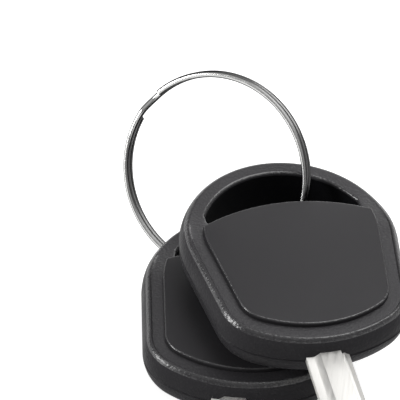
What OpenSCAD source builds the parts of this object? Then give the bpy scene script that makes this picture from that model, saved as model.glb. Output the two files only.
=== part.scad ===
// Key set: two keys with moulded plastic heads, one lying on the other, on a two-turn split ring.
// The lower key lies flat on its rear panel. +Y points from the blades to the ring, +Z is up.

/* [Head] */
// Half of the head's width at the arch
head_r = 18; // [14:0.5:24]
// Lean of each side towards the blade, degrees
side_lean = 9; // [3:0.5:13]
// From the arch's centre to the foot of the head
foot_y = 24.8; // [20:0.2:32]
// Radius of the two lower corners
corner_r = 9; // [6:0.2:11]
// Radius of the bowed foot
foot_r = 23.2; // [18:0.2:60]
// Height of the outer band's crest above the parting plane
band_h = 3.95; // [3:0.05:6]
// Height of the band below the parting plane
under_h = 3.45; // [3:0.05:4.4]
// Depth of the step from the band down to the ledge
band_step = 0.22; // [0:0.02:0.5]
// How far the wall leans in from the parting line to the crest
band_in = 1.5; // [0.8:0.05:2.5]
// Where the ledge begins to fall towards the rim
fall_from = -3; // [-6:0.5:4]
// Where the ledge has fallen to the rim
fall_to = 8; // [6:0.5:14]
// Chamfer along the parting line
seam_in = 0.18; // [0.05:0.01:0.4]

/* [Panel and slot] */
// Height of the raised panel above the parting plane
panel_h = 4.6; // [3.6:0.05:7]
// Margin from the head's outline to the panel's edge
panel_in = 3.65; // [2.8:0.05:5]
// Round along the panel's edge
panel_round = 0.4; // [0.1:0.05:0.8]
// Panel's top edge, the lower edge of the slot, on the centre line
slot_y = 5.8; // [4:0.1:8]
// Radius of the panel's top edge
slot_r = 30.5; // [22:0.5:60]
// From the slot's arc in to its blunt end
slot_end = 1.3; // [1:0.05:4.25]
// Round at the corners of the slot's ends
end_round = 1; // [0.6:0.1:1.4]
// How far the slot narrows from the parting plane to its lower face
slot_draft = 0.6; // [0:0.05:1]
// Width of the rim round the slot
rim_w = 3.75; // [2.8:0.05:5]
// Height of the rim above the parting plane
rim_h = 2.95; // [2.2:0.05:3.9]
// Round along the rim's upper inner edge
rim_round = 0.6; // [0.3:0.1:1.6]
// How far the upper key's rim runs below its band
rim_deep = 0.95; // [0:0.05:1]
// Round along the rim's lower inner edge
under_round = 0.2; // [0.1:0.05:0.6]

/* [Blade] */
// Width of the blade
blade_w = 7; // [6:0.1:10]
// Thickness of the blade's middle
blade_t = 3.2; // [2:0.1:3.6]
// Length of the blade beyond the head
blade_len = 42; // [30:1:50]
// Height of the left land above the blade's middle plane
land_h = 0.85; // [0.5:0.05:1.2]
// Width of the left land
land_w = 1.2; // [0.8:0.1:2]
// Width of the slope from the left land up to the middle
slope_w = 0.9; // [0.4:0.1:1.4]
// Width of the milled groove
groove_w = 0.5; // [0.4:0.1:1.2]
// Width of the bevelled edge beside the groove
bevel_w = 0.9; // [0.6:0.1:1.4]
// Length of the pointed tip
tip_len = 4; // [2:0.5:6]
// First bit cut from the head
cut_from = 15; // [13:0.5:20]
// Pitch of the bit cuts
cut_pitch = 3.2; // [2.6:0.1:4]
// Depth steps of the bit cuts, from the head to the tip
cut_steps = [2, 1, 3, 2, 3, 1, 2];
// Depth of one step
cut_unit = 0.4; // [0.2:0.05:0.5]

/* [Tang] */
// How far the milled blade runs into the head
root_in = 4; // [2:0.5:6]
// How far the flat tang runs into the head
tang_in = 17; // [12:0.5:18]
// Width of the tang
tang_w = 9; // [6:0.1:11]
// Thickness of the tang
tang_t = 1.8; // [1.2:0.1:2.4]
// Diameter of the locating pegs
peg_d = 2.6; // [1.8:0.1:3.4]
// Height of a peg above the parting plane
peg_h = 2.6; // [1.8:0.1:3.2]
// Space between the two pegs
peg_pitch = 7; // [5:0.5:8]
// Gap between the metal and the mouldings, and round the pegs
fit_gap = 0.05; // [0.02:0.01:0.15]

/* [Split ring] */
// Radius of the ring at the middle of its wire
ring_r = 16.8; // [14:0.2:20]
// Diameter of the ring's wire
wire_d = 1.08; // [0.8:0.02:1.3]
// Gap between the two turns
turn_gap = 0.06; // [0.04:0.01:0.15]
// Where the joggle sits on the ring, degrees from its right side
joggle_at = 155; // [100:1:170]
// Arc of the joggle
joggle_arc = 13; // [8:1:24]
// Space between the joggle and each wire end, degrees
end_gap = 3.8; // [2:0.2:8]

/* [Arrangement] */
// Lean of the ring's plane from upright
ring_lean = 29.3; // [20:0.1:35]
// Heading that the ring's face looks to
ring_face = -113.5; // [-120:0.5:-105]
// Bearing of the place where the wire lies under the lower key's rim
under_a = 138.4; // [132:0.2:144]
// From the slot's arc out to that place
under_in = 0.58; // [0:0.05:1.5]
// Gap under the ring
ring_rest = 0.06; // [0.02:0.01:0.2]
// Gap between the wire and the rim that it passes under
wire_clear = 0.45; // [0.4:0.05:1]
// Turn of the upper key about the upright
fan_turn = 19.4; // [10:0.1:24]
// Roll of the upper key, right side down
fan_roll = 3.9; // [0:0.05:5]
// Pitch of the upper key, ring end up
fan_pitch = 1.4; // [0:0.1:2]
// Where the wire stands in the upper key's slot, right of its middle
pass_x = 4.51; // [2:0.1:6]
// Where the wire stands in the upper key's slot, above its lower edge
pass_y = 2.78; // [2.4:0.02:4]
// Height between the two parting planes, less one head's thickness
fan_gap = 1.6; // [1:0.05:4]

/* [Hidden] */
arch_n = 16;
corner_n = 8;
foot_n = 6;

// Step between the two turns, and the depth of each key's rim below the parting plane
turn_h = (wire_d + turn_gap) / 2;
front_rim = under_h + rim_deep;
rear_rim = panel_h - (ring_rest + wire_d + 2 * turn_h * sin(ring_lean) + wire_clear);

// Centre of the foot's bow and of the right lower corner
foot_cy = foot_r - foot_y;
side_n = [cos(side_lean), -sin(side_lean)];
side_t = [-sin(side_lean), -cos(side_lean)];
corner_b = (head_r - corner_r) * side_n - [0, foot_cy];
corner_p = corner_b * side_t;
corner_s = -corner_p + sqrt(corner_p * corner_p - corner_b * corner_b + pow(foot_r - corner_r, 2));
corner_c = corner_s * side_t + (head_r - corner_r) * side_n;
corner_a = atan2(corner_c[1] - foot_cy, corner_c[0]);

// Slot's arc, and the centres of the rounds at its right end
slot_arc_r = head_r - rim_w;
slot_cy = slot_y - slot_r;
end_x = slot_arc_r - slot_end - end_round;
end_up = [end_x, sqrt(pow(slot_arc_r - end_round, 2) - end_x * end_x)];
end_low = [end_x, slot_cy + sqrt(pow(slot_r + end_round, 2) - end_x * end_x)];
end_up_a = atan2(end_up[1], end_up[0]);
end_low_a = atan2(slot_cy - end_low[1], -end_low[0]);
low_x = end_x * slot_r / (slot_r + end_round);

// Right half of the outline from the arch's top to the foot, as points with outward normals
half_outline = concat(
    [for (i = [0:arch_n]) let (a = 90 - (90 + side_lean) * i / arch_n)
        [head_r * cos(a), head_r * sin(a), cos(a), sin(a)]],
    [for (i = [0:corner_n]) let (a = -side_lean + (corner_a + side_lean) * i / corner_n)
        [corner_c[0] + corner_r * cos(a), corner_c[1] + corner_r * sin(a), cos(a), sin(a)]],
    [for (i = [1:foot_n]) let (a = corner_a + (-90 - corner_a) * i / foot_n)
        [foot_r * cos(a), foot_cy + foot_r * sin(a), cos(a), sin(a)]]);
half_n = len(half_outline);

// Share of the fall from the ledge to the rim at a place along the head
function fall(y) =
    let (t = min(1, max(0, (y - fall_from) / (fall_to - fall_from)))) t * t * (3 - 2 * t);
function height_share(y, h, b) = 1 - (1 - h / b) * fall(y);
function ledge_z(y, h, b) = (b - band_step * (1 - fall(y))) * height_share(y, h, b);

// Wall of one moulding, as pairs of inset and share of the crest's height
wall = [
    [seam_in, 0],
    [0, 0.06],
    [0.06 * band_in, 0.33],
    [0.22 * band_in, 0.58],
    [0.46 * band_in, 0.78],
    [0.72 * band_in, 0.92],
    [0.9 * band_in, 0.985],
    [band_in, 1]];

function inset_pt(p, d) = [p[0] - d * p[2], p[1] - d * p[3]];
function mirror_ring(half) = concat(half, [for (i = [len(half) - 2:-1:1]) [-half[i][0], half[i][1], half[i][2]]]);

// Solid through a stack of mirrored rings, closed by strips across the width
module ring_loft(rings, half) {
    n = 2 * half - 2;
    m = len(rings);
    pts = [for (r = rings) for (p = r) p];
    sides = [for (k = [0:m - 2]) for (i = [0:n - 1]) let (j = (i + 1) % n)
        each [[k * n + i, (k + 1) * n + j, (k + 1) * n + i], [k * n + i, k * n + j, (k + 1) * n + j]]];
    caps = [for (k = [0, m - 1]) for (i = [0:half - 2])
        let (
            a = i,
            b = i + 1,
            c = (n - i - 1) % n,
            d = (n - i) % n,
            o = k * n,
            f = i == 0 ? [o, o + b, o + c] : i == half - 2 ? [o + a, o + b, o + d] : [o + a, o + b, o + c, o + d])
        k > 0 ? f : [for (q = [len(f) - 1:-1:0]) f[q]]];
    polyhedron(pts, concat(sides, caps), convexity = 6);
}

// One moulding without its slot and pockets: wall, band, step and ledge, with a rim of height h and
// a band of height b
module head_blank(h, b) {
    rings = concat(
        [for (w = wall) mirror_ring([for (p = half_outline)
            concat(inset_pt(p, w[0]), [w[1] * b * height_share(p[1], h, b)])])],
        [mirror_ring([for (p = half_outline)
            concat(inset_pt(p, band_in + 0.22), [ledge_z(p[1], h, b)])])]);
    ring_loft(rings, half_n);
}

// Right half of the panel's outline from its top edge to the foot
function panel_half(d) =
    let (
        q = [for (p = half_outline) inset_pt(p, panel_in + d)],
        r = slot_r - d,
        below = [for (p = q) if (p[1] < slot_cy + sqrt(max(0, r * r - p[0] * p[0])) - 0.3) p],
        x1 = below[0][0] + 0.02,
        top_n = 8)
    concat([for (i = [0:top_n]) let (x = x1 * i / top_n) [x, slot_cy + sqrt(r * r - x * x)]], below);
panel_n = len(panel_half(0));

// Raised panel with a rounded edge
module panel() {
    steps = [[0, panel_h - 2.2], [0, panel_h - panel_round], [0.13, 0.32], [0.5, 0.08], [1, 0]];
    rings = [for (i = [0:len(steps) - 1]) let (s = steps[i])
        mirror_ring([for (p = panel_half(0)) let (
            d = (i < 2 ? 0 : s[0]) * panel_round,
            z = i < 2 ? s[1] : panel_h - s[1] * panel_round,
            l = norm([p[0], p[1] + 8]))
            [p[0] * (1 - d / l), p[1] - d * (p[1] + 8) / l, z]])];
    ring_loft(rings, panel_n);
}

// Right half of the slot's outline from its top to its low edge, as points with outward normals and
// a share of the round along the rim
slot_half = concat(
    [for (i = [0:12]) let (a = 90 - (90 - end_up_a) * i / 12)
        [slot_arc_r * cos(a), slot_arc_r * sin(a), cos(a), sin(a), 1]],
    [for (i = [1:3]) let (a = end_up_a * (1 - i / 3))
        [end_up[0] + end_round * cos(a), end_up[1] + end_round * sin(a), cos(a), sin(a), 1 - i / 6]],
    [for (i = [0:5]) let (a = end_low_a * i / 5)
        [end_low[0] + end_round * cos(a), end_low[1] + end_round * sin(a), cos(a), sin(a), max(0, 0.5 - i / 4)]],
    [for (i = [1:7]) let (x = low_x * (1 - i / 7))
        [x, slot_cy + sqrt(slot_r * slot_r - x * x), 0, -1, 0]]);

// Slot through a moulding with a rim of height h and a band of height b, narrowed by d and rounded by
// e along the rim
module slot_cut(h, b, d, e) {
    last = len(slot_half) - 1;
    base = concat(
        [for (i = [0:last]) slot_half[i]],
        [for (i = [last - 1:-1:1]) let (p = slot_half[i]) [-p[0], p[1], -p[2], p[3], p[4]]]);
    n = len(base);
    flare = [[0, 0], [0.076, 0.383], [0.293, 0.707], [0.617, 0.924], [1.02, 1.02]];
    levels = concat(
        [for (z = [-1, 0]) [for (p = base) [p[0], p[1], z]]],
        [for (f = flare) [for (p = base) let (o = (f[0] * e - d) * p[4])
            [p[0] + o * p[2], p[1] + o * p[3], ledge_z(p[1], h, b) - e + f[1] * e]]],
        [[for (p = base) let (o = (1.04 * e - d) * p[4]) [p[0] + o * p[2], p[1] + o * p[3], panel_h + 1]]]);
    m = len(levels);
    sides = [for (k = [0:m - 2]) for (i = [0:n - 1]) let (j = (i + 1) % n)
        each [[k * n + i, (k + 1) * n + j, (k + 1) * n + i], [k * n + i, k * n + j, (k + 1) * n + j]]];
    polyhedron([for (l = levels) for (p = l) p], concat(sides,
        [[for (i = [n - 1:-1:0]) i]],
        [[for (i = [0:n - 1]) (m - 1) * n + i]]), convexity = 6);
}

// Section of the milled blade, alike after half a turn
module blade_section(g = 0) {
    w = blade_w / 2 + g;
    t = blade_t / 2 + g;
    lower = 0.6 * blade_t / 2 + g;
    upper = [
        [-w, land_h - 0.1 + g],
        [-w + land_w, land_h + g],
        [-w + land_w + slope_w, t],
        [w - bevel_w - groove_w - 0.15, t],
        [w - bevel_w - groove_w, lower],
        [w - bevel_w, lower],
        [w, 0.3 + g]];
    polygon(concat(upper, [for (p = upper) -p]));
}

// Prism of the blade's section between two places along the key
module blade_bar(y0, y1, g = 0) {
    translate([0, y1, 0])
        rotate([90, 0, 0])
            linear_extrude(y1 - y0)
                blade_section(g);
}

// Flat tang inside the head, with room g on every side
module tang_bar(g = 0) {
    translate([-tang_w / 2 - g, -foot_y + root_in - 1 - g, -tang_t / 2 - g])
        cube([tang_w + 2 * g, tang_in - root_in + 1 + 2 * g, tang_t + 2 * g]);
}

peg_y = -foot_y + tang_in - 3;
peg_rows = [peg_y, peg_y - peg_pitch];
tip_y = -foot_y - blade_len;

// Blade with its milled section, bit cuts, tip and tang
module blade() {
    difference() {
        union() {
            blade_bar(tip_y, -foot_y + root_in);
            tang_bar();
        }
        for (s = [-1, 1]) {
            translate([0, tip_y, 0])
                linear_extrude(2 * blade_t, center = true)
                    polygon([
                        [s * (blade_w / 2 + 1), -1],
                        [s * 1.2, -1],
                        [s * 1.2, 0],
                        [s * blade_w / 2, tip_len],
                        [s * (blade_w / 2 + 1), tip_len + 1]]);
            for (i = [0:len(cut_steps) - 1])
                bit_cut(s, -foot_y - cut_from - i * cut_pitch, cut_steps[i] * cut_unit);
        }
        for (y = peg_rows)
            translate([0, y, 0])
                cylinder(h = 2 * tang_t, d = peg_d + 2 * fit_gap, center = true, $fn = 48);
    }
}

// One bit cut with sloping sides in the edge on side s
module bit_cut(s, y, depth) {
    translate([s * blade_w / 2, y, 0])
        linear_extrude(2 * blade_t, center = true)
            polygon([
                [s * 1, -depth - 1.5],
                [-s * depth, -0.5],
                [-s * depth, 0.5],
                [s * 1, depth + 1.5]]);
}

// Moulding before its pocket for the metal, with a rim of height h, a band of height b, and a slot
// narrowed by d and rounded by e
module moulding(h, b, d, e) {
    difference() {
        union() {
            head_blank(h, b);
            panel();
        }
        slot_cut(h, b, d, e);
    }
}

// Room for the blade and its tang in both mouldings
module metal_pocket() {
    blade_bar(-foot_y - 3, -foot_y + root_in + fit_gap, fit_gap);
    tang_bar(fit_gap);
}

module upper_shell() {
    difference() {
        moulding(rim_h, band_h, 0, rim_round);
        metal_pocket();
        for (y = peg_rows)
            translate([0, y, -1])
                cylinder(h = 1 + peg_h + fit_gap, d = peg_d + 2 * fit_gap, $fn = 48);
    }
}

module lower_shell(h) {
    union() {
        difference() {
            mirror([0, 0, 1])
                moulding(h, under_h, slot_draft, under_round);
            metal_pocket();
        }
        for (y = peg_rows)
            translate([0, y, -tang_t / 2 - 1])
                cylinder(h = tang_t / 2 + 1 + peg_h, d = peg_d, $fn = 48);
    }
}

// Ring's own axes, its lowest point on the lower key and its centre
ring_u = [-sin(ring_face), cos(ring_face), 0];
ring_v = [-sin(ring_lean) * cos(ring_face), -sin(ring_lean) * sin(ring_face), cos(ring_lean)];
under_p = (slot_arc_r + under_in) * [cos(under_a), sin(under_a), 0];
under_z = ring_rest + wire_d / 2 + turn_h * sin(ring_lean);
ring_c = under_p + ring_r * ring_v + [0, 0, under_z];

// The upper key is threaded on the wire at the height at which it lies on the lower key
fan_z = 3 * panel_h + fan_gap;
pass_l = [
    pass_x * cos(fan_turn) - (slot_y + pass_y) * sin(fan_turn),
    pass_x * sin(fan_turn) + (slot_y + pass_y) * cos(fan_turn)];
pass_w = [
    pass_l[0] * cos(fan_roll) + pass_l[1] * sin(fan_pitch) * sin(fan_roll),
    pass_l[1] * cos(fan_pitch),
    pass_l[1] * sin(fan_pitch) * cos(fan_roll) - pass_l[0] * sin(fan_roll)];
pass_a = asin((fan_z + pass_w[2] - ring_c[2]) / (ring_r * cos(ring_lean)));
pass_p = ring_c + ring_r * (cos(pass_a) * ring_u + sin(pass_a) * ring_v);

// Place of the lower key on the ground
module at_rear() {
    translate([0, 0, panel_h])
        children();
}

// Place of the upper key on the lower one
module at_front() {
    translate(pass_p - pass_w)
        rotate([0, fan_roll, 0])
            rotate([fan_pitch, 0, 0])
                rotate([0, 0, fan_turn])
                    children();
}

joggle_a0 = joggle_at - joggle_arc / 2;
joggle_a1 = joggle_at + joggle_arc / 2;

// One turn of the ring's wire from angle a0 over an arc
module turn(a0, arc, z) {
    translate([0, 0, z])
        rotate([0, 0, a0])
            rotate_extrude(angle = arc, $fn = 180)
                translate([ring_r, 0])
                    circle(d = wire_d, $fn = 32);
}

function on_ring(a, z) = [ring_r * cos(a), ring_r * sin(a), z];

// Straight piece of the wire between two points
module wire_link(p, q) {
    v = q - p;
    translate(p)
        rotate([0, acos(v[2] / norm(v)), atan2(v[1], v[0])])
            cylinder(h = norm(v), d = wire_d, $fn = 32);
}

// Split ring lying in its own plane
module ring_flat() {
    back_a0 = joggle_a1 + end_gap;
    p = on_ring(joggle_a0, -turn_h);
    q = on_ring(joggle_a1, turn_h);
    union() {
        turn(back_a0, 360 - end_gap - joggle_arc, -turn_h);
        turn(joggle_a1, 360 - end_gap - joggle_arc, turn_h);
        wire_link(p, q);
        for (c = [p, q])
            translate(c)
                sphere(d = wire_d + 0.04, $fn = 32);
    }
}

module split_ring() {
    color([0.78, 0.78, 0.76])
        translate(ring_c)
            rotate([0, 90 - ring_lean, ring_face])
                rotate([0, 0, 90])
                    ring_flat();
}

module front_upper() {
    color([0.13, 0.13, 0.14]) at_front() upper_shell();
}

module front_lower() {
    color([0.11, 0.11, 0.12]) at_front() lower_shell(front_rim);
}

module front_blade() {
    color([0.85, 0.84, 0.80]) at_front() blade();
}

module rear_upper() {
    color([0.13, 0.13, 0.14]) at_rear() upper_shell();
}

module rear_lower() {
    color([0.11, 0.11, 0.12]) at_rear() lower_shell(rear_rim);
}

module rear_blade() {
    color([0.85, 0.84, 0.80]) at_rear() blade();
}

split_ring();
front_upper();
front_lower();
front_blade();
rear_upper();
rear_lower();
rear_blade();
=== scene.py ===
"""Dresses a pair of ignition keys on a split ring: moulded heads, milled blades and a coiled wire ring."""

import logging
import math
from dataclasses import dataclass, field
from enum import Enum

import bmesh
import bpy
from bmesh.types import BMEdge, BMesh, BMFace, BMVert
from bpy.types import Material, Node, NodeSocket, NodeTree, Object
from mathutils import Matrix, Vector


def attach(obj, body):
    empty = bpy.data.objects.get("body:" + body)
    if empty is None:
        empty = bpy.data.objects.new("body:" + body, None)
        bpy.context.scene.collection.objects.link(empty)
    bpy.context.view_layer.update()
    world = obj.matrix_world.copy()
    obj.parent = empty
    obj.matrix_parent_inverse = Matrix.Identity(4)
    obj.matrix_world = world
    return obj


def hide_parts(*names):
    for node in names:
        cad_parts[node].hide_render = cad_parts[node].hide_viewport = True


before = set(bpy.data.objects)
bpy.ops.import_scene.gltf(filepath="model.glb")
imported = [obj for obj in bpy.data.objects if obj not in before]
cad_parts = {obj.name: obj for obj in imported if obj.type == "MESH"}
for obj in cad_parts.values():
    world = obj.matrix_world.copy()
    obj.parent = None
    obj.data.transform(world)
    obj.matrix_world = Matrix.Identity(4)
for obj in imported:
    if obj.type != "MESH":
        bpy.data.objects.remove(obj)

logging.basicConfig(level=logging.INFO, format="%(message)s")
log = logging.getLogger("key_set")

Span = tuple[float, float]
Triple = tuple[float, float, float]

# One millimetre in metres, and the distance in millimetres within which vertices are merged
MM = 0.001
MERGE = 1e-4
# Vertex layer that says how far a wire's surface faces along the ring's axis, the mask for the painted shade
# on the wire's sides
FACING = "facing"
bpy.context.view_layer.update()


class Side(Enum):
    """Which moulding of a head a shell is."""

    UPPER = 1
    LOWER = -1


class Zone(Enum):
    """Material slots of a head shell."""

    GRAIN = 0
    PANEL = 1
    # Walls of the slot, whose near-black colour is painted shade in the recess
    SLOT = 2
    EDGE = 3
    # High upward faces, a lighter copy of the grain: painted light on the tops
    PAINTED_TOP = 4


@dataclass(frozen=True)
class PlasticFinish:
    """A moulded black plastic.

    Attributes:
        name: Material's name.
        colour: Base colour, linear.
        worn: Colour of rubbed places, linear.
        roughness: Middle roughness.
        grain: Size of one grain of the mould's texture, in metres.
        depth: Height of the grain, in metres.
        wear: How strongly the grain's tops are rubbed.
        gloss: Specular level of the surface.
    """

    name: str
    colour: Triple
    worn: Triple
    roughness: float
    grain: float
    depth: float
    wear: float
    gloss: float


@dataclass(frozen=True)
class MetalFinish:
    """A plated metal.

    Attributes:
        name: Material's name.
        colour: Base colour, linear.
        dull: Colour of dull or scratched places, linear.
        roughness: Middle roughness.
        streak: Scale of the scratches along X, Y and Z, per metre.
        depth: Depth of the scratches, in metres.
        edge: Tint of the surface seen edge on.
        side: Colour of the sides, darker as painted shade that stands in for dark reflections, linear, on a
            mesh that says which way it faces.
    """

    name: str
    colour: Triple
    dull: Triple
    roughness: float
    streak: Triple
    depth: float
    edge: float
    side: Triple | None = None


def ease(t: float) -> float:
    """Smooth step from 0 to 1, level outside that range."""
    t = min(1.0, max(0.0, t))
    return t * t * (3.0 - 2.0 * t)


class Nodes:
    """Small helper that adds and links shader nodes in one tree.

    Attributes:
        MIX_COLOURS: A Mix node's inputs for colours.
        MIX_RESULT: Its output for colours.
    """

    MIX_COLOURS = (6, 7)
    MIX_RESULT = 2

    def __init__(self, tree: NodeTree) -> None:
        """Keeps the node tree of a material, a group or the world."""
        self.tree = tree

    def add(self, kind: str, **values: object) -> Node:
        """Adds a node.

        Args:
            kind: Node's type.
            **values: Attributes of the node to set.

        Returns:
            The new node.
        """
        node = self.tree.nodes.new(kind)
        for key, value in values.items():
            setattr(node, key, value)
        return node

    def link(self, a: NodeSocket, b: NodeSocket) -> None:
        """Links an output to an input."""
        self.tree.links.new(a, b)

    def feed(self, value: object, socket: NodeSocket) -> None:
        """Links an input to a socket, or sets it to a plain value.

        Args:
            value: Socket, number or colour.
            socket: The input.
        """
        if isinstance(value, NodeSocket):
            self.link(value, socket)
        else:
            socket.default_value = value

    def maths(self, how: str, a: object, b: object) -> NodeSocket:
        """Adds a Math node.

        Args:
            how: Operation's name.
            a: First socket or number.
            b: Second socket or number.

        Returns:
            The node's output.
        """
        node = self.add("ShaderNodeMath", operation=how)
        self.feed(a, node.inputs[0])
        self.feed(b, node.inputs[1])
        return node.outputs[0]

    def noise(self, vector: NodeSocket, scale: object, detail: float, rough: float) -> NodeSocket:
        """Adds a Noise Texture.

        Args:
            vector: Coordinates.
            scale: Scale, as a number or a socket.
            detail: Octaves.
            rough: Roughness of the octaves.

        Returns:
            The noise's value.
        """
        node = self.add("ShaderNodeTexNoise")
        for name, value in (("Vector", vector), ("Scale", scale), ("Detail", detail), ("Roughness", rough)):
            self.feed(value, node.inputs[name])
        return node.outputs["Fac"]

    def ramp(self, value: NodeSocket, old: Span, new: Span = (0.0, 1.0)) -> NodeSocket:
        """Maps a value from one range to another, clamped.

        Args:
            value: Value to map.
            old: Start and end of the old range.
            new: Start and end of the new range.

        Returns:
            The mapped value.
        """
        node = self.add("ShaderNodeMapRange", clamp=True)
        self.link(value, node.inputs["Value"])
        for name, v in zip(("From Min", "From Max", "To Min", "To Max"), (*old, *new)):
            node.inputs[name].default_value = v
        return node.outputs["Result"]

    def mix(self, factor: NodeSocket, a: object, b: object) -> NodeSocket:
        """Mixes two colours.

        Args:
            factor: Share of the second colour.
            a: First colour, as a socket or linear values.
            b: Second colour, as a socket or linear values.

        Returns:
            The mixed colour.
        """
        node = self.add("ShaderNodeMix", data_type="RGBA", clamp_factor=True)
        self.link(factor, node.inputs["Factor"])
        for i, v in zip(self.MIX_COLOURS, (a, b)):
            self.feed((*v, 1.0) if isinstance(v, tuple) else v, node.inputs[i])
        return node.outputs[self.MIX_RESULT]

    def rays(self) -> tuple[NodeSocket, NodeSocket]:
        """Tells rays apart.

        Returns:
            Whether a ray is the camera's, and whether it comes off metal or through glass.
        """
        path = self.add("ShaderNodeLightPath")
        mirrored = self.maths("MAXIMUM", path.outputs["Is Glossy Ray"], path.outputs["Is Transmission Ray"])
        return path.outputs["Is Camera Ray"], mirrored


class Groups:
    """Shader node groups that the finishes share.

    Attributes:
        CELL_SMOOTH: Smoothness of the grain's cells.
        CELL_SPAN: Distances in a cell between which its height falls.
        CELL_SHARE: Share of the cells in the grain's height.
        FINE_SCALE: Scale of the fine noise, in cells.
        FINE_SHARE: Share of the fine noise in it.
        TOPS_SPAN: Heights between which a grain's top begins.
        PATCH_SPAN: Part of the patch noise that reads as sheen.
        LINE_SPAN: Part of the line noise that reads as a scratch.
        LINE_TIP: Tilt of the scratches about X and Y, radians.
        LINE_TURNS: Directions of the scratches about Z, radians.
        LINE_STRETCH: Stretch of the noise that makes it into lines.
    """

    CELL_SMOOTH = 0.6
    CELL_SPAN = (0.05, 0.75)
    CELL_SHARE = 0.65
    FINE_SCALE = 1.9
    FINE_SHARE = 0.5
    TOPS_SPAN = (0.55, 0.85)
    PATCH_SPAN = (0.35, 0.7)
    LINE_SPAN = (0.7, 0.78)
    LINE_TIP = (0.15, 0.1)
    LINE_TURNS = (0.5, 2.1)
    LINE_STRETCH = (1.0, 0.02, 1.0)

    @staticmethod
    def _new(name: str, inputs: tuple[str, ...], outputs: tuple[str, ...]) -> tuple[NodeTree, Nodes]:
        """Makes an empty group, whose first input is always the coordinates.

        Args:
            name: Group's name.
            inputs: Names of its value inputs.
            outputs: Names of its value outputs.

        Returns:
            The group and a helper on it.
        """
        tree = bpy.data.node_groups.new(name, "ShaderNodeTree")
        tree.interface.new_socket(name="Vector", in_out="INPUT", socket_type="NodeSocketVector")
        for i in inputs:
            tree.interface.new_socket(name=i, in_out="INPUT", socket_type="NodeSocketFloat")
        for o in outputs:
            tree.interface.new_socket(name=o, in_out="OUTPUT", socket_type="NodeSocketFloat")
        return tree, Nodes(tree)

    @classmethod
    def grain(cls) -> NodeTree:
        """Makes the spark-eroded grain of a mould.

        Returns:
            The group, which gives the grain's height and a mask of its tops.
        """
        tree, n = cls._new("mould_grain", ("Scale",), ("Height", "Tops"))
        src = n.add("NodeGroupInput")
        dst = n.add("NodeGroupOutput")
        cells = n.add("ShaderNodeTexVoronoi", feature="SMOOTH_F1")
        cells.inputs["Smoothness"].default_value = cls.CELL_SMOOTH
        n.link(src.outputs["Vector"], cells.inputs["Vector"])
        n.link(src.outputs["Scale"], cells.inputs["Scale"])
        scale = n.maths("MULTIPLY", src.outputs["Scale"], cls.FINE_SCALE)
        fine = n.maths("MULTIPLY", n.noise(src.outputs["Vector"], scale, 2.0, 0.55), cls.FINE_SHARE)
        pit = n.ramp(cells.outputs["Distance"], cls.CELL_SPAN, (1.0, 0.0))
        height = n.maths("ADD", n.maths("MULTIPLY", pit, cls.CELL_SHARE), fine)
        n.link(height, dst.inputs["Height"])
        n.link(n.ramp(height, cls.TOPS_SPAN), dst.inputs["Tops"])
        return tree

    @classmethod
    def handling(cls) -> NodeTree:
        """Makes marks of handling.

        Returns:
            The group, which gives broad patches of sheen and thin random scratches.
        """
        tree, n = cls._new("handling", ("Patch", "Scratch"), ("Sheen", "Lines"))
        src = n.add("NodeGroupInput")
        dst = n.add("NodeGroupOutput")
        patch = n.noise(src.outputs["Vector"], src.outputs["Patch"], 3.0, 0.55)
        n.link(n.ramp(patch, cls.PATCH_SPAN), dst.inputs["Sheen"])
        lines = []
        for angle in cls.LINE_TURNS:
            turned = n.add("ShaderNodeMapping")
            turned.inputs["Rotation"].default_value = (*cls.LINE_TIP, angle)
            turned.inputs["Scale"].default_value = cls.LINE_STRETCH
            n.link(src.outputs["Vector"], turned.inputs["Vector"])
            noise = n.noise(turned.outputs["Vector"], src.outputs["Scratch"], 1.0, 0.5)
            lines.append(n.ramp(noise, cls.LINE_SPAN))
        n.link(n.maths("MAXIMUM", *lines), dst.inputs["Lines"])
        return tree


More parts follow.
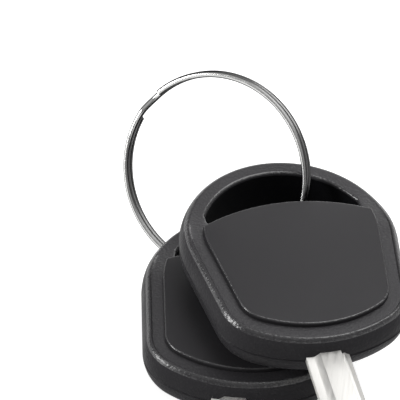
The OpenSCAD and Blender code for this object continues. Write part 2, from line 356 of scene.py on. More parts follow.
class Finishes:
    """Builds the materials from the finishes.

    Attributes:
        PLASTIC_MARKS: Scales of the handling marks on plastic, per metre.
        METAL_MARKS: The same on metal.
        RUB_SPAN: Shares of the wear on the least and most handled plastic.
        SHEEN_ROUGH: Roughness added to the least and most handled plastic.
        LINE_POLISH: Roughness that a scratch takes off plastic.
        DULL_SPAN: Part of the drawn noise that reads as dull metal.
        DULL_MOST: Share of the dull colour there.
        LINE_DULL: Share of the dull colour in a scratch.
        FACE_SPAN: How far a wire faces the axis where its sides with painted shade end and its face begins.
        DRAWN_SPAN: Part of the drawn noise that changes the roughness.
        DRAWN_ROUGH: Shares of the roughness at its two ends.
        SHEEN_DULL: Roughness that handling adds to metal.
    """

    PLASTIC_MARKS = {"Patch": 180.0, "Scratch": 2600.0}
    METAL_MARKS = {"Patch": 260.0, "Scratch": 3200.0}
    RUB_SPAN = (0.3, 1.0)
    SHEEN_ROUGH = (0.05, -0.04)
    LINE_POLISH = 0.08
    DULL_SPAN = (0.5, 0.8)
    DULL_MOST = 0.6
    LINE_DULL = 0.5
    FACE_SPAN = (0.7, 0.92)
    DRAWN_SPAN = (0.3, 0.7)
    DRAWN_ROUGH = (0.8, 1.25)
    SHEEN_DULL = 0.05

    def __init__(self) -> None:
        """Builds the shared groups."""
        self.grain = Groups.grain()
        self.handling = Groups.handling()

    @staticmethod
    def _start(name: str) -> tuple[Material, Nodes, Node, NodeSocket]:
        """Makes a material with a Principled shader.

        Args:
            name: Material's name.

        Returns:
            The material, a helper on its tree, its shader and the Object coordinates.
        """
        material = bpy.data.materials.new(name)
        material.use_nodes = True
        n = Nodes(material.node_tree)
        shader = material.node_tree.nodes["Principled BSDF"]
        coords = n.add("ShaderNodeTexCoord").outputs["Object"]
        return material, n, shader, coords

    @staticmethod
    def _group(n: Nodes, tree: NodeTree, coords: NodeSocket, **values: float) -> Node:
        """Places a shared group in a material.

        Args:
            n: Helper on the material's tree.
            tree: The group.
            coords: Coordinates to feed it.
            **values: Its input values.

        Returns:
            The group's node.
        """
        node = n.add("ShaderNodeGroup", node_tree=tree)
        n.link(coords, node.inputs["Vector"])
        for key, value in values.items():
            node.inputs[key].default_value = value
        return node

    @staticmethod
    def _bump(n: Nodes, shader: Node, height: NodeSocket, depth: float) -> None:
        """Gives a material's surface a relief.

        Args:
            n: Helper on the material's tree.
            shader: The material's shader.
            height: The relief's height.
            depth: What a height of 1 stands for, in metres.
        """
        bump = n.add("ShaderNodeBump")
        bump.inputs["Strength"].default_value = 1.0
        bump.inputs["Distance"].default_value = depth
        n.link(height, bump.inputs["Height"])
        n.link(bump.outputs["Normal"], shader.inputs["Normal"])

    def plastic(self, finish: PlasticFinish) -> Material:
        """Builds a moulded plastic with grain, sheen and rubbed tops.

        Args:
            finish: The finish.

        Returns:
            The material.
        """
        material, n, shader, coords = self._start(finish.name)
        grain = self._group(n, self.grain, coords, Scale=1.0 / finish.grain)
        marks = self._group(n, self.handling, coords, **self.PLASTIC_MARKS)
        sheen = marks.outputs["Sheen"]
        rub = n.maths("MULTIPLY", grain.outputs["Tops"], n.ramp(sheen, (0.0, 1.0), self.RUB_SPAN))
        rub = n.maths("MULTIPLY", rub, finish.wear)
        n.link(n.mix(rub, finish.colour, finish.worn), shader.inputs["Base Color"])
        matt, shiny = (finish.roughness + change for change in self.SHEEN_ROUGH)
        rough = n.ramp(sheen, (0.0, 1.0), (matt, shiny))
        polish = n.maths("MULTIPLY", marks.outputs["Lines"], self.LINE_POLISH)
        n.link(n.maths("SUBTRACT", rough, polish), shader.inputs["Roughness"])
        shader.inputs["Specular IOR Level"].default_value = finish.gloss
        self._bump(n, shader, grain.outputs["Height"], finish.depth)
        return material

    def metal(self, finish: MetalFinish) -> Material:
        """Builds a plated metal with drawn scratches, dull patches and, on a wire, painted shade on its
        sides.

        Args:
            finish: The finish.

        Returns:
            The material.
        """
        material, n, shader, coords = self._start(finish.name)
        stretch = n.add("ShaderNodeMapping")
        stretch.inputs["Scale"].default_value = finish.streak
        n.link(coords, stretch.inputs["Vector"])
        drawn = n.noise(stretch.outputs["Vector"], 1.0, 3.0, 0.6)
        marks = self._group(n, self.handling, coords, **self.METAL_MARKS)
        dull = n.ramp(drawn, self.DULL_SPAN, (0.0, self.DULL_MOST))
        lines = n.maths("MULTIPLY", marks.outputs["Lines"], self.LINE_DULL)
        base = n.mix(n.maths("MAXIMUM", dull, lines), finish.colour, finish.dull)
        # On a wire, the sides get a dark colour: painted shade that stands in for dark reflections
        if finish.side is not None:
            facing = n.add("ShaderNodeAttribute", attribute_name=FACING).outputs["Fac"]
            base = n.mix(n.ramp(facing, self.FACE_SPAN), finish.side, base)
        n.link(base, shader.inputs["Base Color"])
        fine, coarse = (finish.roughness * share for share in self.DRAWN_ROUGH)
        rough = n.ramp(drawn, self.DRAWN_SPAN, (fine, coarse))
        rough = n.maths("ADD", rough, n.maths("MULTIPLY", marks.outputs["Sheen"], self.SHEEN_DULL))
        n.link(rough, shader.inputs["Roughness"])
        shader.inputs["Metallic"].default_value = 1.0
        shader.inputs["Specular Tint"].default_value = (finish.edge, finish.edge, finish.edge, 1.0)
        self._bump(n, shader, drawn, finish.depth)
        return material


def finish_object(
    name: str, bm: BMesh, place: Matrix, materials: list[Material], sharp: float = 40.0
) -> Object:
    """Turns a bmesh in millimetres into a placed object in metres, and reports it.

    Args:
        name: Object's name.
        bm: The mesh, freed here.
        place: Its place in the shared frame, in millimetres.
        materials: Materials in the order of their slots.
        sharp: Least angle of a sharp edge, degrees.

    Returns:
        The object, at the origin and unscaled.
    """
    bm.transform(Matrix.Scale(MM, 4) @ place)
    bmesh.ops.recalc_face_normals(bm, faces=bm.faces)
    mesh = bpy.data.meshes.new(name)
    bm.to_mesh(mesh)
    bm.free()
    for material in materials:
        mesh.materials.append(material)
    mesh.polygons.foreach_set("use_smooth", [True] * len(mesh.polygons))
    mesh.set_sharp_from_angle(angle=math.radians(sharp))
    obj = bpy.data.objects.new(name, mesh)
    bpy.context.scene.collection.objects.link(obj)
    log.info("%s: %d faces", name, len(mesh.polygons))
    return obj


@dataclass(frozen=True)
class Rim:
    """How one moulding ends round the slot, in millimetres.

    Attributes:
        height: Height of the rim over the parting plane.
        draft: How far the slot narrows from the parting plane to the face.
        round: Round along the rim's inner edge.
        band: Height of the band over the parting plane.
    """

    height: float
    draft: float
    round: float
    band: float


@dataclass(frozen=True)
class SlotPoint:
    """A point of the slot's outline.

    Attributes:
        at: The point.
        out: Normal away from the slot.
        share: Share of the rim's round here.
    """

    at: Vector
    out: Vector
    share: float


@dataclass
class KeyHead:
    """One moulded head: two shells that meet at the parting line.

    Sizes are in millimetres, in the head's own frame: the arch's centre is the origin, +Y points to the
    ring, and the parting plane is Z = 0.

    Attributes:
        body: Body that the shells ride.
        place: Place of the head in the shared frame.
        under: Lower moulding's rim.
        upper: Upper moulding's rim.
        head_r: Radius of the arch.
        side_lean: Lean of the straight sides, degrees.
        foot_y: From the arch's centre to the foot.
        corner_r: Radius of the corners beside the foot.
        foot_r: Radius of the foot.
        band_step: Drop from the band to the ledge.
        step_w: Width of that drop.
        band_in: From the outline to the band's top.
        fall_from: Y where the band begins to fall to the rim.
        fall_to: Y where it has fallen.
        seam_in: From the outline in to the parting line.
        seam_share: Share of the band's height over which the wall comes out.
        panel_h: Height of the panel over the parting plane.
        panel_in: From the outline to the panel and the slot's face.
        panel_round: Round along the panel's edge.
        slot_y: Y of the slot's lower edge in the middle.
        slot_r: Radius of that edge.
        slot_end: X of the slot's blunt end.
        end_round: Round in that end's corners.
        end_share: Share of the rim's round along that end.
        end_fade: How fast the share fades below it.
        rim_w: Width of the rim outside the slot.
        near: How near the arc a vertex counts as on it.
        spread_from: Y where the slot's face begins to spread for the rim's round.
        spread_over: Length over which it spreads.
        spread_spare: Width left outside the round.
        shoulder: Power of the shoulder's curve.
        rub_from: Share of the band's height above which faces are rubbed.
        rub_low: Least upward part of a rubbed edge's normal.
        rub_high: Upward part past which a face is flat.
        sharp: Least angle of a sharp edge, degrees.
        ledge_insets: Where the ledge has loops, from the band in.
        arch_steps: Steps of half the arch.
        corner_steps: Steps of a corner.
        foot_steps: Steps of half the foot.
        wall_steps: Steps of the wall and shoulder.
        edge_steps: Steps of the slot's lower edge.
        panel_steps: Steps of the panel's round.
        rim_steps: Steps of the rim's round.
    """

    body: str
    place: Matrix
    under: Rim
    upper: Rim = Rim(2.95, 0.0, 0.6, 3.95)
    head_r: float = 18.0
    side_lean: float = 9.0
    foot_y: float = 24.8
    corner_r: float = 9.0
    foot_r: float = 23.2
    band_step: float = 0.22
    step_w: float = 0.22
    band_in: float = 1.5
    fall_from: float = -3.0
    fall_to: float = 8.0
    seam_in: float = 0.18
    seam_share: float = 0.06
    panel_h: float = 4.6
    panel_in: float = 3.65
    panel_round: float = 0.4
    slot_y: float = 5.8
    slot_r: float = 30.5
    slot_end: float = 12.95
    end_round: float = 1.0
    end_share: float = 0.5
    end_fade: float = 1.25
    rim_w: float = 3.75
    near: float = 0.03
    spread_from: float = 3.2
    spread_over: float = 3.2
    spread_spare: float = 0.05
    shoulder: float = 1.75
    rub_from: float = 0.3
    rub_low: float = 0.5
    rub_high: float = 0.97
    sharp: float = 35.0
    ledge_insets: tuple[float, ...] = (0.1, 0.22, 0.7, 1.3)
    arch_steps: int = 60
    corner_steps: int = 20
    foot_steps: int = 12
    wall_steps: int = 12
    edge_steps: int = 72
    panel_steps: int = 5
    rim_steps: int = 6

    def fall(self, y: float) -> float:
        """Share of the fall from the ledge to the rim at y."""
        return ease((y - self.fall_from) / (self.fall_to - self.fall_from))

    def height_share(self, y: float, rim: Rim) -> float:
        """Share of the band's full height at y."""
        return 1.0 - (1.0 - rim.height / rim.band) * self.fall(y)

    def ledge_z(self, y: float, rim: Rim) -> float:
        """Height of the ledge at y."""
        return (rim.band - self.band_step * (1.0 - self.fall(y))) * self.height_share(y, rim)

    def edge_y(self, x: float) -> float:
        """Y of the slot's lower edge, the panel's top, at x."""
        return self.slot_y - self.slot_r + math.sqrt(self.slot_r ** 2 - x * x)

    def on_arc(self, v: BMVert) -> bool:
        """Says whether a vertex lies on the arc inside the ledge."""
        return abs(v.co.xy.length - (self.head_r - self.panel_in)) < self.near

    def outline(self, bm: BMesh, inset: float) -> list[BMEdge]:
        """Draws the head's outline as a closed loop by spinning one vertex.

        Args:
            bm: Mesh to draw in.
            inset: Distance inside the outline.

        Returns:
            The loop's edges.
        """
        lean = math.radians(self.side_lean)
        foot_cy = self.foot_r - self.foot_y
        side = Vector((math.cos(lean), -math.sin(lean)))
        along = Vector((-math.sin(lean), -math.cos(lean)))
        start = (self.head_r - self.corner_r) * side - Vector((0.0, foot_cy))
        p = start.dot(along)
        run = -p + math.sqrt(p * p - start.dot(start) + (self.foot_r - self.corner_r) ** 2)
        corner = run * along + (self.head_r - self.corner_r) * side
        turn = math.atan2(corner.y - foot_cy, corner.x)
        before = set(bm.edges)
        tip = bm.verts.new((0.0, self.head_r - inset, 0.0))
        arcs = ((Vector((0, 0, 0)), -(math.pi / 2 + lean), self.arch_steps),
                (corner.to_3d(), turn + lean, self.corner_steps),
                (Vector((0, foot_cy, 0)), -math.pi / 2 - turn, self.foot_steps))
        for i, (centre, angle, steps) in enumerate(arcs):
            made = bmesh.ops.spin(bm, geom=[tip], cent=centre, axis=(0, 0, 1), angle=angle, steps=steps)
            tip = next(g for g in made["geom_last"] if isinstance(g, BMVert))
            if i == 0:
                made = bmesh.ops.extrude_vert_indiv(bm, verts=[tip])
                tip = made["verts"][0]
                tip.co = (corner + (self.corner_r - inset) * side).to_3d()
        half = [e for e in bm.edges if e not in before]
        geom = half + list({v for e in half for v in e.verts})
        bmesh.ops.mirror(bm, geom=geom, axis="X", merge_dist=MERGE)
        return [e for e in bm.edges if e not in before]

    def shell(self, side: Side) -> BMesh:
        """Builds one moulding: seam, wall, band, ledge, rim, slot and panel.

        Args:
            side: Upper or lower moulding.

        Returns:
            The closed mesh.
        """
        rim = self.upper if side is Side.UPPER else self.under
        bm = bmesh.new()
        top = self._wall(bm, rim)
        self._ledge(bm, top, rim)
        panel, slot = self._part(top, rim)
        raised = self._raise_panel(bm, panel)
        walls = self._sink_slot(bm, slot, rim)
        bmesh.ops.bridge_loops(bm, edges=[e for e in bm.edges if e.is_boundary])
        for f in bm.faces:
            f.material_index = self._zone(f, rim, f in raised, f in walls).value
        bmesh.ops.remove_doubles(bm, verts=bm.verts, dist=MERGE)
        if side is Side.LOWER:
            bmesh.ops.scale(bm, vec=(1, 1, -1), verts=bm.verts)
            bmesh.ops.reverse_faces(bm, faces=bm.faces)
        return bm

    def _zone(self, face: BMFace, rim: Rim, raised: bool, wall: bool) -> Zone:
        """Chooses the material of a face, before the lower moulding is turned over.

        Args:
            face: The face.
            rim: The moulding's rim.
            raised: Whether it belongs to the panel.
            wall: Whether it is a wall of the slot.

        Returns:
            The face's zone.
        """
        upright, z = abs(face.normal.z), face.calc_center_median().z
        high = z > self.rub_from * rim.band
        if high and self.rub_low < upright < self.rub_high:
            return Zone.EDGE
        if raised and z > rim.band:
            return Zone.PANEL
        # Slot walls take a near-black colour: painted shade in the recess
        if wall:
            return Zone.SLOT
        # High upward faces take a lighter copy of the grain's colour, painted light on the tops
        return Zone.PAINTED_TOP if high and upright >= self.rub_high else Zone.GRAIN

    @staticmethod
    def _ring(bm: BMesh, top: BMFace, inset: float, rise: float) -> None:
        """Insets the top face by a step and lifts it."""
        bmesh.ops.inset_region(
            bm, faces=[top], use_boundary=True, use_even_offset=True, thickness=inset, depth=0.0)
        bmesh.ops.translate(bm, verts=list(top.verts), vec=(0, 0, rise))

    def _wall(self, bm: BMesh, rim: Rim) -> BMFace:
        """Builds the wall from the parting line over the shoulder to the band.

        Args:
            bm: The mesh.
            rim: The moulding's rim.

        Returns:
            The face inside the band.
        """
        low = self.seam_share * rim.band
        seam = self.outline(bm, self.seam_in)
        foot = self.outline(bm, 0.0)
        bmesh.ops.translate(bm, verts=list({v for e in foot for v in e.verts}), vec=(0, 0, low))
        bmesh.ops.bridge_loops(bm, edges=seam + foot)
        top = bmesh.ops.contextual_create(bm, geom=foot)["faces"][0]
        if top.normal.z < 0:
            top.normal_flip()
        done, z = 0.0, low
        for i in range(1, self.wall_steps + 1):
            along = self.seam_share + (1.0 - self.seam_share) * i / self.wall_steps
            share = math.sin(math.pi / 2 * along)
            bow = max(0.0, 1.0 - share ** self.shoulder) ** (1.0 / self.shoulder)
            inset = self.band_in * (1.0 - bow)
            self._ring(bm, top, inset - done, share * rim.band - z)
            done, z = inset, share * rim.band
        for v in bm.verts:
            v.co.z *= self.height_share(v.co.y, rim)
        return top

    def _ledge(self, bm: BMesh, top: BMFace, rim: Rim) -> None:
        """Steps down from the band to the ledge.

        Args:
            bm: The mesh.
            top: Face inside the band.
            rim: The moulding's rim.
        """
        done = 0.0
        for inset in (*self.ledge_insets, self.panel_in - self.band_in):
            self._ring(bm, top, inset - done, 0.0)
            done = inset
            for v in top.verts:
                sunk = self.ledge_z(v.co.y, rim)
                v.co.z += (sunk - v.co.z) * min(1.0, inset / self.step_w)

    def _part(self, top: BMFace, rim: Rim) -> tuple[BMFace, BMFace]:
        """Parts the face inside the ledge along the slot's lower edge.

        Args:
            top: Face inside the ledge.
            rim: The moulding's rim.

        Returns:
            The panel's face and the slot's face.
        """
        right = min((v for v in top.verts if v.co.x > 0), key=lambda v: abs(v.co.y - self.edge_y(v.co.x)))
        left = min((v for v in top.verts if v.co.x < 0), key=lambda v: abs(v.co.y - self.edge_y(v.co.x)))
        for v in (right, left):
            v.co.y = self.edge_y(v.co.x)
        path = []
        for i in range(1, self.edge_steps):
            x = left.co.x + (right.co.x - left.co.x) * i / self.edge_steps
            path.append(Vector((x, self.edge_y(x), self.ledge_z(self.edge_y(x), rim))))
        other, _ = bmesh.utils.face_split(top, left, right, coords=path)
        faces = sorted((top, other), key=lambda f: f.calc_center_median().y)
        return faces[0], faces[1]

    def _raise_panel(self, bm: BMesh, panel: BMFace) -> set[BMFace]:
        """Raises the panel with a rounded edge.

        Args:
            bm: The mesh.
            panel: Panel's face at the ledge.

        Returns:
            The new faces.
        """
        before = set(bm.faces)
        out = bmesh.ops.extrude_face_region(bm, geom=[panel])
        face = next(g for g in out["geom"] if isinstance(g, BMFace))
        if panel.is_valid:
            bm.faces.remove(panel)
        for v in face.verts:
            v.co.z = self.panel_h - self.panel_round
        done = 0.0
        for i in range(1, self.panel_steps + 1):
            a = math.pi / 2 * i / self.panel_steps
            inset = self.panel_round * (1.0 - math.cos(a))
            self._ring(bm, face, inset - done, 0.0)
            for v in face.verts:
                v.co.z = self.panel_h - self.panel_round * (1.0 - math.sin(a))
            done = inset
        return {f for f in bm.faces if f not in before}

    def _slot_end(self, share: float) -> SlotPoint:
        """Finds a point of the slot's right end, from the lower edge to the arc.

        Args:
            share: How far along the end, 0 to 1.

        Returns:
            The point.
        """
        r = self.end_round
        x = self.slot_end - r
        cy = self.slot_y - self.slot_r
        up_y = math.sqrt((self.head_r - self.rim_w - r) ** 2 - x * x)
        low_y = cy + math.sqrt((self.slot_r + r) ** 2 - x * x)
        up_a = math.atan2(up_y, x)
        low_a = math.atan2(cy - low_y, -x)
        runs = (r * -low_a, up_y - low_y, r * up_a)
        s = share * sum(runs)
        if s < runs[0]:
            a = low_a * (1.0 - s / runs[0])
            part = max(0.0, self.end_share - self.end_fade * a / low_a)
            out = Vector((math.cos(a), math.sin(a)))
            return SlotPoint(Vector((x, low_y)) + r * out, out, part)
        if s < runs[0] + runs[1]:
            return SlotPoint(Vector((self.slot_end, low_y + s - runs[0])), Vector((1.0, 0.0)), self.end_share)
        a = up_a * (s - runs[0] - runs[1]) / runs[2]
        out = Vector((math.cos(a), math.sin(a)))
        return SlotPoint(Vector((x, up_y)) + r * out, out, self.end_share + (1.0 - self.end_share) * a / up_a)

    def _slot_points(self, slot: BMFace) -> dict[BMVert, SlotPoint]:
        """Finds where each corner of the slot's face belongs on the slot's outline.

        Args:
            slot: Slot's face, whose arc is the ledge's inner edge.

        Returns:
            The point of each vertex.
        """
        arc_r = self.head_r - self.rim_w
        first = self._slot_end(1.0).at
        up_a = math.atan2(first.y, first.x)
        low_x = self._slot_end(0.0).at.x
        points = {}
        ends = {1: [], -1: []}
        for v in slot.verts:
            on_arc = self.on_arc(v)
            a = math.atan2(v.co.y, abs(v.co.x))
            if on_arc and a > up_a:
                out = v.co.xy.normalized()
                points[v] = SlotPoint(out * arc_r, out, 1.0)
            elif not on_arc and abs(v.co.x) <= low_x:
                points[v] = SlotPoint(v.co.xy.copy(), Vector((0.0, -1.0)), 0.0)
            else:
                # The lower edge's vertices come first, from the middle out, then the arc's going up
                ends[1 if v.co.x > 0 else -1].append(((1, a) if on_arc else (0, abs(v.co.x)), v))
        for side, row in ends.items():
            row.sort(key=lambda e: e[0])
            for i, (_, v) in enumerate(row):
                p = self._slot_end((i + 1.0) / (len(row) + 1.0))
                flip = Vector((side, 1.0))
                points[v] = SlotPoint(p.at * flip, p.out * flip, p.share)
        return points

    def _sink_slot(self, bm: BMesh, slot: BMFace, rim: Rim) -> set[BMFace]:
        """Sinks the slot to the parting plane, rounded along the rim's inner edge.

        Args:
            bm: The mesh.
            slot: Slot's face at the ledge.
            rim: The moulding's rim.

        Returns:
            The slot's upright walls.
        """
        points = self._slot_points(slot)
        spread = max(0.0, rim.round - rim.draft + self.spread_spare - (self.rim_w - self.panel_in))
        for v in slot.verts:
            if self.on_arc(v):
                share = ease((v.co.y - self.spread_from) / self.spread_over)
                v.co.xy += v.co.xy.normalized() * (spread * share)
        face = slot
        for i in range(self.rim_steps + 2):
            before = set(bm.faces)
            out = bmesh.ops.extrude_face_region(bm, geom=[face])
            new_face = next(g for g in out["geom"] if isinstance(g, BMFace))
            old = list(face.verts)
            if face.is_valid:
                bm.faces.remove(face)
            mates = {v: min(old, key=lambda o: (o.co - v.co).length_squared) for v in new_face.verts}
            a = math.pi / 2 * min(i, self.rim_steps) / self.rim_steps
            for v, mate in mates.items():
                p = points[v] = points[mate]
                wide = (rim.round * (1.0 - math.sin(a)) - rim.draft) * p.share
                z = self.ledge_z(p.at.y, rim) - rim.round * (1.0 - math.cos(a))
                if i > self.rim_steps:
                    wide, z = 0.0, 0.0
                v.co = (p.at + p.out * wide).to_3d() + Vector((0.0, 0.0, z))
            face = new_face
        bm.faces.remove(face)
        return {f for f in bm.faces if f not in before}

    def build(self, materials: list[Material], names: dict[Side, str]) -> None:
        """Builds both shells and sets them on the key's body.

        Args:
            materials: Materials in the order of the zones.
            names: CAD node of each moulding.
        """
        for side, node in names.items():
            obj = finish_object(node + "_moulding", self.shell(side), self.place, materials, self.sharp)
            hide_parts(node)
            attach(obj, self.body)


@dataclass
class KeyBlade:
    """A milled blade, softened along its edges.

    Attributes:
        node: CAD node of the blade.
        body: Body that the blade rides.
        edge: Width of the broken edges, in millimetres.
        edge_angle: Angle past which an edge is broken, degrees.
        flat_angle: Angle within which faces are joined into one, degrees.
        merge: Distance within which vertices are merged, in metres.
        sharp: Least angle of a sharp edge, degrees.
    """

    node: str
    body: str
    edge: float = 0.07
    edge_angle: float = 12.0
    flat_angle: float = 1.0
    merge: float = 2e-6
    sharp: float = 30.0

    def build(self, material: Material) -> None:
        """Copies the blade's solid, merges it, breaks its edges and sets it on the key's body.

        Args:
            material: Blade's material.
        """
        bm = bmesh.new()
        bm.from_mesh(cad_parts[self.node].data)
        bmesh.ops.remove_doubles(bm, verts=bm.verts, dist=self.merge)
        bmesh.ops.dissolve_limit(
            bm, angle_limit=math.radians(self.flat_angle), verts=bm.verts, edges=bm.edges)
        least = math.radians(self.edge_angle)
        edges = [e for e in bm.edges if len(e.link_faces) == 2 and e.calc_face_angle(0.0) > least]
        bmesh.ops.bevel(bm, geom=edges, offset=self.edge * MM, offset_type="OFFSET", affect="EDGES",
                        segments=2, profile=0.5, material=-1, clamp_overlap=True)
        bm.transform(Matrix.Scale(1.0 / MM, 4))
        obj = finish_object(self.node + "_bright", bm, Matrix.Identity(4), [material], self.sharp)
        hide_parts(self.node)
        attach(obj, self.body)


@dataclass
class SplitRing:
    """Two turns of round wire with a joggle between them and two cut ends.

    Sizes are in millimetres, in the ring's own frame, with the ring's axis along Z.

    Attributes:
        place: Place of the ring in the shared frame.
        body: Body that the ring rides.
        node: CAD node of the ring.
        ring_r: Radius to the middle of the wire.
        wire_d: Diameter of the wire.
        turn_gap: Gap between the two turns.
        joggle_at: Where the middle of the joggle lies, degrees.
        joggle_arc: Length of the joggle, degrees.
        end_gap: Gap from the joggle to a cut end, degrees.
        end_round: Round along the cut ends.
        sharp: Least angle of a sharp edge, degrees.
        sides: Sides of the wire's section.
        turn_steps: Steps of one turn.
        joggle_steps: Steps of the joggle.
    """

    place: Matrix
    body: str = "ring"
    node: str = "split_ring"
    ring_r: float = 16.8
    wire_d: float = 1.08
    turn_gap: float = 0.06
    joggle_at: float = 155.0
    joggle_arc: float = 13.0
    end_gap: float = 3.8
    end_round: float = 0.12
    sharp: float = 50.0
    sides: int = 24
    turn_steps: int = 150
    joggle_steps: int = 12

    def wire(self) -> BMesh:
        """Spins the wire's section through both turns and the joggle.

        Returns:
            The closed wire.
        """
        bm = bmesh.new()
        rise = (self.wire_d + self.turn_gap) / 2.0
        start = math.radians(self.joggle_at + self.joggle_arc / 2.0 + self.end_gap)
        arc = math.radians(360.0 - self.joggle_arc - self.end_gap)
        made = bmesh.ops.create_circle(bm, cap_ends=True, segments=self.sides, radius=self.wire_d / 2.0)
        stand = Matrix.Rotation(start, 4, "Z") @ Matrix.Translation((self.ring_r, 0, -rise))
        bmesh.ops.transform(bm, matrix=stand @ Matrix.Rotation(math.pi / 2, 4, "X"), verts=made["verts"])
        first = bm.faces[:][0]
        tip = [first, *first.edges, *first.verts]
        runs = [(arc, 0.0, self.turn_steps)]
        for i in range(self.joggle_steps):
            a, b = (ease((i + k) / self.joggle_steps) for k in (0, 1))
            runs.append((math.radians(self.joggle_arc) / self.joggle_steps, 2.0 * rise * (b - a), 1))
        runs.append((arc, 0.0, self.turn_steps))
        for angle, lift, steps in runs:
            made = bmesh.ops.spin(bm, geom=tip, cent=(0, 0, 0), axis=(0, 0, 1), dvec=(0, 0, lift / steps),
                                  angle=angle, steps=steps, use_duplicate=False)
            tip = made["geom_last"]
        bmesh.ops.remove_doubles(bm, verts=bm.verts, dist=MERGE)
        ends = [e for f in bm.faces if len(f.verts) == self.sides for e in f.edges]
        bmesh.ops.bevel(bm, geom=ends, offset=self.end_round, offset_type="OFFSET", affect="EDGES",
                        segments=3, profile=0.5, material=-1)
        bm.normal_update()
        # How far each vertex faces the axis, the mask for the painted shade on the wire's sides
        facing = bm.verts.layers.float.new(FACING)
        for v in bm.verts:
            v[facing] = abs(v.normal.z)
        return bm

    def build(self, material: Material) -> None:
        """Builds the ring on its body.

        Args:
            material: Ring's material.
        """
        obj = finish_object("split_ring_wire", self.wire(), self.place, [material], self.sharp)
        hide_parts(self.node)
        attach(obj, self.body)


@dataclass(frozen=True)
class Lamp:
    """A soft round lamp.

    Attributes:
        name: Lamp's name.
        at: Its place, in metres.
        size: Its diameter, in metres.
        power: Its power, in watts.
    """

    name: str
    at: Triple
    size: float
    power: float


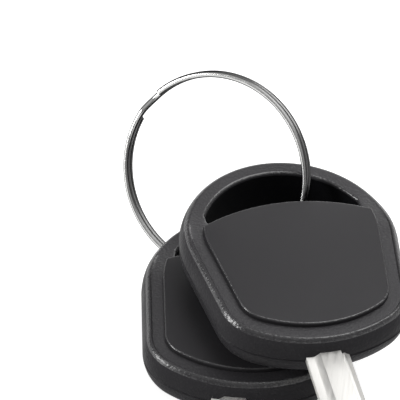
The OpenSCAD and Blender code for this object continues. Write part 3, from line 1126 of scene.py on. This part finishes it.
@dataclass
class Studio:
    """Pale floor, soft lamps and the camera.

    Attributes:
        camera_at: Camera's place, in millimetres.
        right: Camera's right, in the shared frame.
        up: Camera's up.
        back: Direction from the keys to the camera.
        lens: Focal length, in millimetres.
        aim: Point that the lamps face, in metres.
        lamps: The lamps.
        sky_z: Heights between which the sky brightens.
        sky_light: Strength of the sky at those heights.
        front_y: How far to the front and back the sky is dimmed.
        front_light: Shares of the sky there.
        left_x: How far to the left and right the sky is dimmed.
        left_light: Shares of the sky there.
        horizon_z: Heights between which the white horizon ends.
        floor_size: Half the floor's width, in millimetres.
        floor_z: Floor's height, a hair under the keys, in millimetres.
        floor_tones: Darkest and palest grey of the floor, linear.
        floor_glow: Light that the floor adds towards the camera.
        floor_mirrored: Light that it adds in metal and glass.
    """

    camera_at: Triple = (19.17, -234.83, 241.32)
    right: Triple = (0.9927, 0.1206, 0.0046)
    up: Triple = (-0.0848, 0.6698, 0.7377)
    back: Triple = (0.0859, -0.7327, 0.6751)
    lens: float = 180.0
    aim: Triple = (0.0, 0.0, 0.01)
    lamps: list[Lamp] = field(default_factory=lambda: [
        Lamp("overhead", (0.24, 0.13, 0.62), 0.70, 2.9),
        Lamp("left", (-0.55, -0.16, 0.24), 0.28, 1.8),
        Lamp("behind", (0.05, 0.60, 0.22), 0.40, 0.8),
    ])
    sky_z: Span = (0.15, 0.75)
    sky_light: Span = (0.05, 0.7)
    front_y: Span = (-0.75, 0.0)
    front_light: Span = (0.55, 1.0)
    left_x: Span = (-0.8, 0.2)
    left_light: Span = (0.5, 1.0)
    horizon_z: Span = (0.12, 0.16)
    floor_size: float = 3000.0
    floor_z: float = -0.02
    floor_tones: Span = (0.58, 0.62)
    floor_glow: float = 0.8
    floor_mirrored: float = 0.2

    def camera(self) -> None:
        """Sets the camera at the photograph's view."""
        data = bpy.data.cameras.new("camera")
        data.lens = self.lens
        data.sensor_width = 36.0
        data.clip_start, data.clip_end = 0.01, 20.0
        cam = bpy.data.objects.new("camera", data)
        turn = Matrix((self.right, self.up, self.back)).transposed().to_4x4()
        cam.matrix_world = Matrix.Translation(Vector(self.camera_at) * MM) @ turn
        bpy.context.scene.collection.objects.link(cam)
        bpy.context.scene.camera = cam

    def lights(self) -> None:
        """Sets soft lamps that face the keys."""
        for lamp in self.lamps:
            data = bpy.data.lights.new(lamp.name, "AREA")
            data.shape = "DISK"
            data.size = lamp.size
            data.energy = lamp.power
            obj = bpy.data.objects.new(lamp.name, data)
            obj.location = lamp.at
            obj.rotation_mode = "QUATERNION"
            obj.rotation_quaternion = (Vector(self.aim) - Vector(lamp.at)).to_track_quat("-Z", "Y")
            bpy.context.scene.collection.objects.link(obj)

    def world(self) -> None:
        """Sets a soft sky, bright overhead and dim lower down, over a white horizon."""
        world = bpy.data.worlds.new("studio")
        world.use_nodes = True
        bpy.context.scene.world = world
        n = Nodes(world.node_tree)
        back = world.node_tree.nodes["Background"]
        back.inputs["Color"].default_value = (1.0, 1.0, 1.0, 1.0)
        way = n.add("ShaderNodeSeparateXYZ")
        n.link(n.add("ShaderNodeTexCoord").outputs["Generated"], way.inputs[0])
        sky = n.ramp(way.outputs["Z"], self.sky_z, self.sky_light)
        front = n.ramp(way.outputs["Y"], self.front_y, self.front_light)
        left = n.ramp(way.outputs["X"], self.left_x, self.left_light)
        light = n.maths("MULTIPLY", n.maths("MULTIPLY", sky, front), left)
        horizon = n.ramp(way.outputs["Z"], self.horizon_z, (1.0, 0.0))
        seen = n.maths("MAXIMUM", *n.rays())
        n.link(n.maths("MAXIMUM", light, n.maths("MULTIPLY", seen, horizon)), back.inputs["Strength"])

    def floor(self) -> None:
        """Lays a pale floor that shows white and keeps a soft shadow."""
        bm = bmesh.new()
        bmesh.ops.create_grid(bm, x_segments=8, y_segments=8, size=self.floor_size)
        material = bpy.data.materials.new("pale_floor")
        material.use_nodes = True
        n = Nodes(material.node_tree)
        shader = material.node_tree.nodes["Principled BSDF"]
        out = material.node_tree.nodes["Material Output"]
        coords = n.add("ShaderNodeTexCoord").outputs["Object"]
        tone = n.noise(coords, 30.0, 2.0, 0.5)
        dark, pale = ((grey, grey, grey) for grey in self.floor_tones)
        n.link(n.mix(tone, dark, pale), shader.inputs["Base Color"])
        shader.inputs["Roughness"].default_value = 0.9
        shader.inputs["Specular IOR Level"].default_value = 0.1
        glow = n.add("ShaderNodeEmission")
        camera, mirrored = n.rays()
        seen = n.maths("MULTIPLY", camera, self.floor_glow)
        mirrored = n.maths("MULTIPLY", mirrored, self.floor_mirrored)
        n.link(n.maths("MAXIMUM", seen, mirrored), glow.inputs["Strength"])
        both = n.add("ShaderNodeAddShader")
        n.link(shader.outputs[0], both.inputs[0])
        n.link(glow.outputs[0], both.inputs[1])
        n.link(both.outputs[0], out.inputs["Surface"])
        obj = finish_object("floor", bm, Matrix.Translation((0, 0, self.floor_z)), [material])

    def build(self) -> None:
        """Builds the studio."""
        self.camera()
        self.lights()
        self.world()
        self.floor()
        bpy.context.scene.view_settings.view_transform = "Standard"


HEAD = {
    Zone.GRAIN: PlasticFinish(
        "head_grain", colour=(0.035, 0.0337, 0.0365), worn=(0.06, 0.06, 0.06),
        roughness=0.32, grain=0.00045, depth=0.00005, wear=0.4, gloss=0.06),
    Zone.PANEL: PlasticFinish(
        "head_panel", colour=(0.029, 0.0279, 0.0302), worn=(0.04, 0.04, 0.04),
        roughness=0.40, grain=0.00012, depth=0.000003, wear=0.3, gloss=0.18),
    # The slot's walls are painted near black: painted shade in the recess, not the plastic's own colour
    Zone.SLOT: PlasticFinish(
        "slot_wall_painted_shade", colour=(0.006, 0.006, 0.007), worn=(0.01, 0.01, 0.01),
        roughness=0.55, grain=0.0003, depth=0.00002, wear=0.2, gloss=0.05),
    Zone.EDGE: PlasticFinish(
        "rubbed_edge", colour=(0.032, 0.0308, 0.0333), worn=(0.06, 0.06, 0.06),
        roughness=0.26, grain=0.00045, depth=0.000055, wear=0.3, gloss=1.0),
    # Upward faces get a lighter colour than the walls' grain: painted light on the tops
    Zone.PAINTED_TOP: PlasticFinish(
        "head_top_painted_light", colour=(0.040, 0.0385, 0.0417), worn=(0.06, 0.06, 0.06),
        roughness=0.36, grain=0.00045, depth=0.00005, wear=0.4, gloss=0.25),
}
BLADE = MetalFinish(
    "blade_plate", colour=(0.80, 0.79, 0.765), dull=(0.68, 0.67, 0.65),
    roughness=0.50, streak=(2500.0, 120.0, 2500.0), depth=0.000003, edge=0.9)
# The ring's side colour is painted shade on the wire's sides, standing in for dark reflections
RING = MetalFinish(
    "ring_plate", colour=(0.88, 0.88, 0.87), dull=(0.74, 0.74, 0.73),
    roughness=0.2, streak=(900.0, 900.0, 900.0), depth=0.000002, edge=0.2, side=(0.13, 0.13, 0.13))

# The upper key's rim is deeper underneath, and the lower key's thinner, so that the wire passes under it
FRONT_UNDER = Rim(4.4, 0.6, 0.2, 3.45)
REAR_UNDER = Rim(2.452, 0.6, 0.2, 3.45)

# Places in millimetres and angles in degrees, as in the part's source
REAR_AT = (0.0, 0.0, 4.6)
FRONT_AT = (6.18037, 1.10315, 15.4)
FRONT_TURN, FRONT_PITCH, FRONT_ROLL = 19.4, 1.4, 3.9
RING_AT = (-7.81148, 17.3857, 15.5297)
RING_LEAN, RING_FACE = 29.3, -113.5


def about(degrees: float, axis: str) -> Matrix:
    """Turn about an axis."""
    return Matrix.Rotation(math.radians(degrees), 4, axis)


def front_place() -> Matrix:
    """Place of the upper key on the lower one, in millimetres."""
    lie = about(FRONT_ROLL, "Y") @ about(FRONT_PITCH, "X") @ about(FRONT_TURN, "Z")
    return Matrix.Translation(FRONT_AT) @ lie


def ring_place() -> Matrix:
    """Place of the ring, in millimetres."""
    tip = about(RING_FACE, "Z") @ about(90.0 - RING_LEAN, "Y")
    return Matrix.Translation(RING_AT) @ tip @ about(90.0, "Z")


def main() -> None:
    """Builds the pieces in order, then the studio."""
    finishes = Finishes()
    head = [finishes.plastic(HEAD[zone]) for zone in Zone]
    blade = finishes.metal(BLADE)
    keys = (("rear", Matrix.Translation(REAR_AT), REAR_UNDER), ("front", front_place(), FRONT_UNDER))
    for stem, place, under in keys:
        body = stem + "_key"
        KeyHead(body, place, under).build(head, {Side.UPPER: stem + "_upper", Side.LOWER: stem + "_lower"})
        KeyBlade(stem + "_blade", body).build(blade)
    SplitRing(ring_place()).build(finishes.metal(RING))
    Studio().build()


if __name__ == "__main__":
    main()
